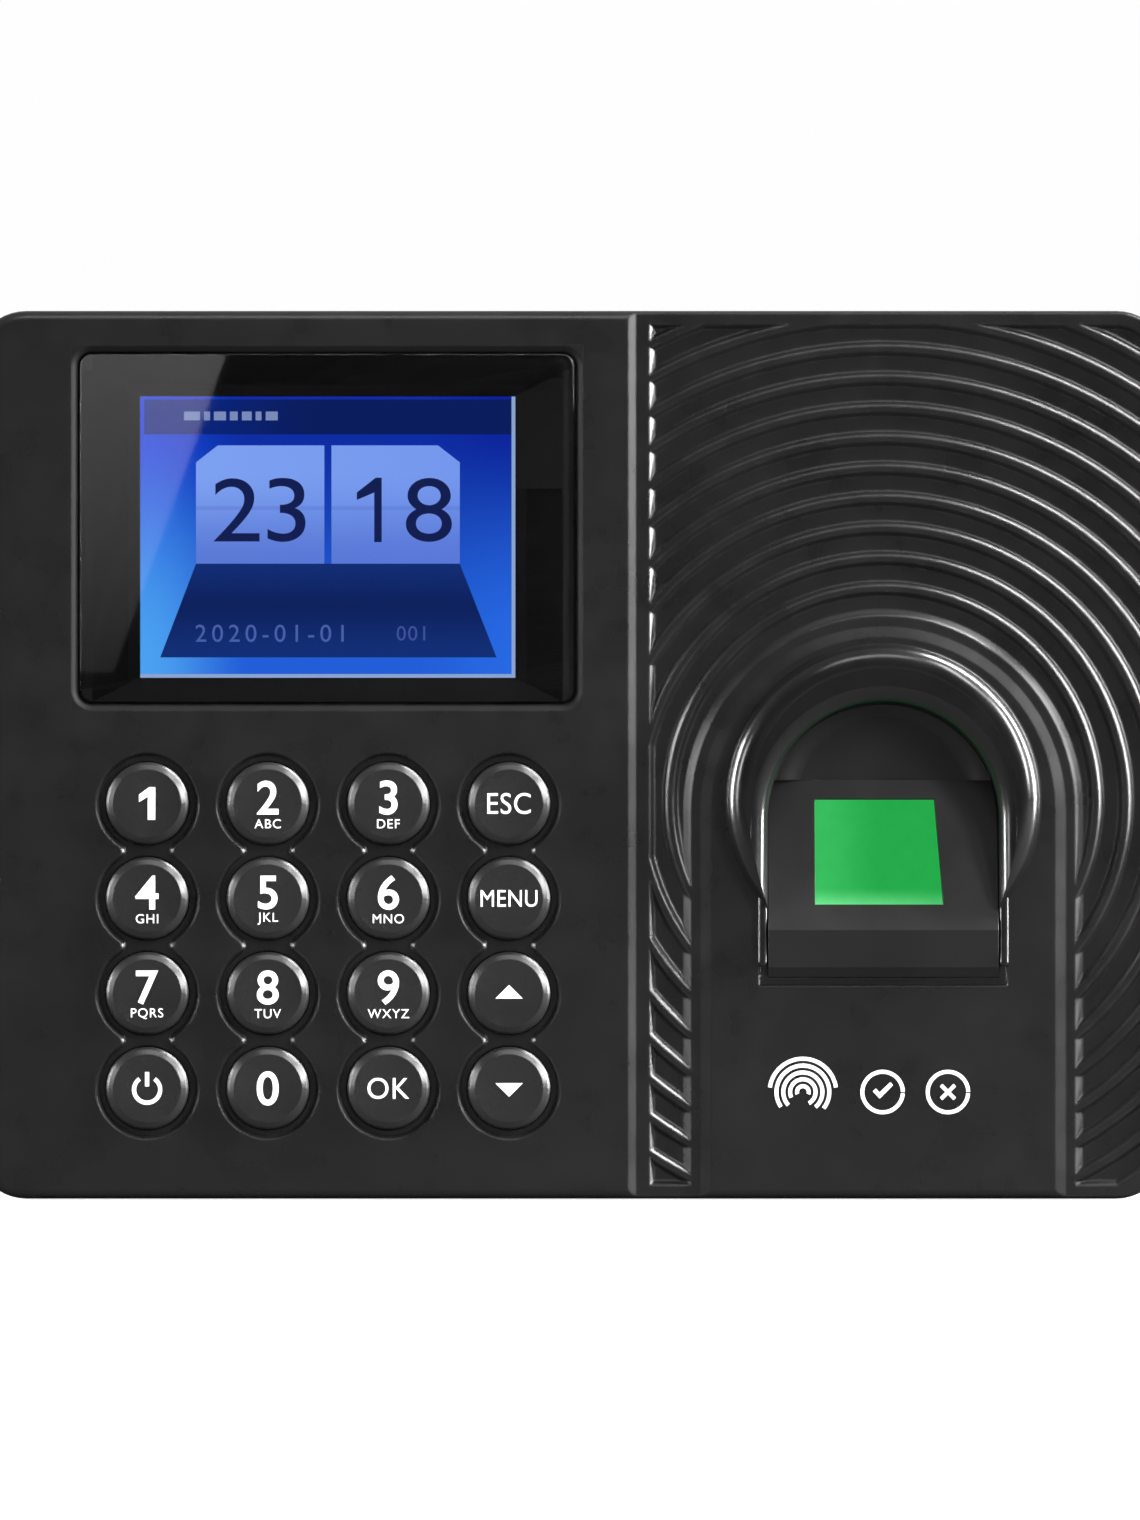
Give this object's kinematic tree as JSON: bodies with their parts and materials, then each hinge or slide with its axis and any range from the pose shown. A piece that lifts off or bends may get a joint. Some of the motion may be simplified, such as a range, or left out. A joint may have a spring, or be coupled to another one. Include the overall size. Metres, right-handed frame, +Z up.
{
  "type": "fingerprint terminal",
  "caption": "Wall-mounted fingerprint attendance terminal: flat case with a colour display, round push keys, an arched finger sensor and a rear wall bracket.",
  "frame": {"origin": "on the wall plane, behind the centre of the terminal's front outline", "axes": "+X to the right of someone facing the terminal, +Z up, +Y into the wall; the front faces -Y"},
  "size_m": [0.183, 0.037, 0.136],
  "materials": {
    "case_front": "fine moulded grain, matte",
    "case_rear": "spark-eroded texture, matte",
    "lens": "smoked clear acrylic, polished",
    "black_print": "black printed frame of the lens",
    "foam": "closed-cell foam",
    "lcd_metal": "thin plated sheet",
    "screen": "lit colour panel, satin",
    "backlight": "white reflector",
    "retainer": "moulded, matte",
    "flex": "polyimide film, satin",
    "silicone": "moulded silicone",
    "board": "green solder mask, satin",
    "key_cap": "satin moulded cap",
    "arch_gloss": "polished black",
    "well": "fine matte",
    "prism": "optical block lit green",
    "housing": "matte black moulding",
    "led": "clear package",
    "camera": "black lens barrel",
    "chip": "epoxy package",
    "connector": "cream nylon",
    "relay_case": "moulded case",
    "steel": "plated steel",
    "screw_black": "black oxide",
    "socket_plastic": "black moulding",
    "tongue": "white moulding",
    "speaker_cone": "paper cone and steel cup",
    "wire": "insulated wire",
    "bracket_paint": "zinc-plated sheet",
    "pad": "soft rubber"
  },
  "bodies": {
    "terminal": {"front_cover": "case_front", "rear_cover": "case_rear", "display_lens": "lens", "lens_adhesive": "black_print", "lcd_gasket": "foam", "lcd_frame": "lcd_metal", "lcd_panel": "screen", "lcd_backlight": "backlight", "lcd_retainer": "retainer", "lcd_screws": "steel", "lcd_flex": "flex", "keypad_mat": "silicone", "keypad_board": "board", "keypad_ribbon": "flex", "keypad_screws": "steel", "finger_arch": "arch_gloss", "finger_well": "well", "well_screws": "steel", "sensor_prism": "prism", "sensor_housing": "housing", "sensor_light_board": "board", "sensor_leds": "led", "sensor_camera": "camera", "sensor_board": "board", "sensor_ribbon": "flex", "sensor_screws": "steel", "main_board": "board", "board_chips": "chip", "board_connectors": "connector", "relay": "relay_case", "board_screws": "steel", "usb_port": "steel", "usb_tongue": "tongue", "power_jack": "socket_plastic", "power_jack_pin": "steel", "coin_cell": "steel", "coin_cell_holder": "socket_plastic", "speaker": "speaker_cone", "speaker_cable": "wire", "case_screws": "screw_black", "wall_bracket": "bracket_paint", "security_screw": "screw_black", "wall_pads": "pad"},
    "key_1": {"key_1": "key_cap"},
    "key_2": {"key_2": "key_cap"},
    "key_3": {"key_3": "key_cap"},
    "key_esc": {"key_esc": "key_cap"},
    "key_4": {"key_4": "key_cap"},
    "key_5": {"key_5": "key_cap"},
    "key_6": {"key_6": "key_cap"},
    "key_menu": {"key_menu": "key_cap"},
    "key_7": {"key_7": "key_cap"},
    "key_8": {"key_8": "key_cap"},
    "key_9": {"key_9": "key_cap"},
    "key_up": {"key_up": "key_cap"},
    "key_power": {"key_power": "key_cap"},
    "key_0": {"key_0": "key_cap"},
    "key_ok": {"key_ok": "key_cap"},
    "key_down": {"key_down": "key_cap"}
  },
  "joints": [
    {"name": "press_1", "type": "slide", "parent": "terminal", "child": "key_1", "axis": [0, 1, 0], "range_m": [0, 0.001]},
    {"name": "press_2", "type": "slide", "parent": "terminal", "child": "key_2", "axis": [0, 1, 0], "range_m": [0, 0.001]},
    {"name": "press_3", "type": "slide", "parent": "terminal", "child": "key_3", "axis": [0, 1, 0], "range_m": [0, 0.001]},
    {"name": "press_esc", "type": "slide", "parent": "terminal", "child": "key_esc", "axis": [0, 1, 0], "range_m": [0, 0.001]},
    {"name": "press_4", "type": "slide", "parent": "terminal", "child": "key_4", "axis": [0, 1, 0], "range_m": [0, 0.001]},
    {"name": "press_5", "type": "slide", "parent": "terminal", "child": "key_5", "axis": [0, 1, 0], "range_m": [0, 0.001]},
    {"name": "press_6", "type": "slide", "parent": "terminal", "child": "key_6", "axis": [0, 1, 0], "range_m": [0, 0.001]},
    {"name": "press_menu", "type": "slide", "parent": "terminal", "child": "key_menu", "axis": [0, 1, 0], "range_m": [0, 0.001]},
    {"name": "press_7", "type": "slide", "parent": "terminal", "child": "key_7", "axis": [0, 1, 0], "range_m": [0, 0.001]},
    {"name": "press_8", "type": "slide", "parent": "terminal", "child": "key_8", "axis": [0, 1, 0], "range_m": [0, 0.001]},
    {"name": "press_9", "type": "slide", "parent": "terminal", "child": "key_9", "axis": [0, 1, 0], "range_m": [0, 0.001]},
    {"name": "press_up", "type": "slide", "parent": "terminal", "child": "key_up", "axis": [0, 1, 0], "range_m": [0, 0.001]},
    {"name": "press_power", "type": "slide", "parent": "terminal", "child": "key_power", "axis": [0, 1, 0], "range_m": [0, 0.001]},
    {"name": "press_0", "type": "slide", "parent": "terminal", "child": "key_0", "axis": [0, 1, 0], "range_m": [0, 0.001]},
    {"name": "press_ok", "type": "slide", "parent": "terminal", "child": "key_ok", "axis": [0, 1, 0], "range_m": [0, 0.001]},
    {"name": "press_down", "type": "slide", "parent": "terminal", "child": "key_down", "axis": [0, 1, 0], "range_m": [0, 0.001]}
  ]
}
